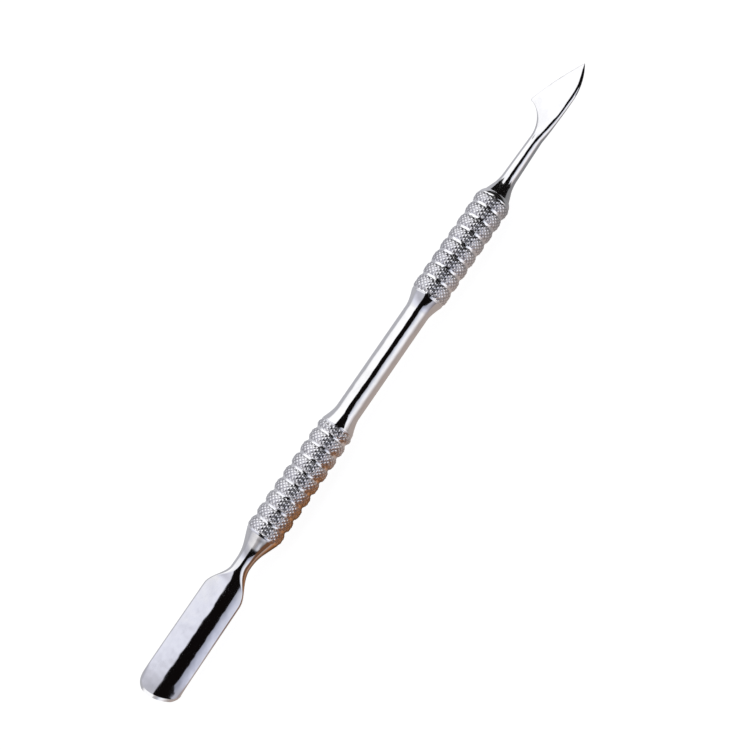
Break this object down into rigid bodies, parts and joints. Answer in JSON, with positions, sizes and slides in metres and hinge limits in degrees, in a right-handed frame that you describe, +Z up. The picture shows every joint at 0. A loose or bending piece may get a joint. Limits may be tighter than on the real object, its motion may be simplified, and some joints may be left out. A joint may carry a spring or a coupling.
{
  "type": "cuticle pusher",
  "caption": "Double-ended stainless-steel cuticle pusher with a curved spoon, ringed and knurled grips, a waisted middle bar and a curved pointed blade.",
  "frame": {"origin": "on the surface that the tool lies on, under the middle of the centre bar", "axes": "+X along the tool from the spoon to the blade, +Y the side that the blade's heel points to, +Z up, with the rounded faces of the spoon and the blade upwards"},
  "size_m": [0.1401, 0.0094, 0.007],
  "materials": {
    "polished_steel": "mirror-polished stainless steel with faint wipe marks",
    "knurled_steel": "bright diamond-knurled stainless steel with plain polished grooves and rims"
  },
  "bodies": {
    "root": {"centre_bar": "polished_steel", "spoon_side_grip": "knurled_steel", "blade_side_grip": "knurled_steel", "spoon_end": "polished_steel", "blade_end": "polished_steel"}
  },
  "joints": []
}
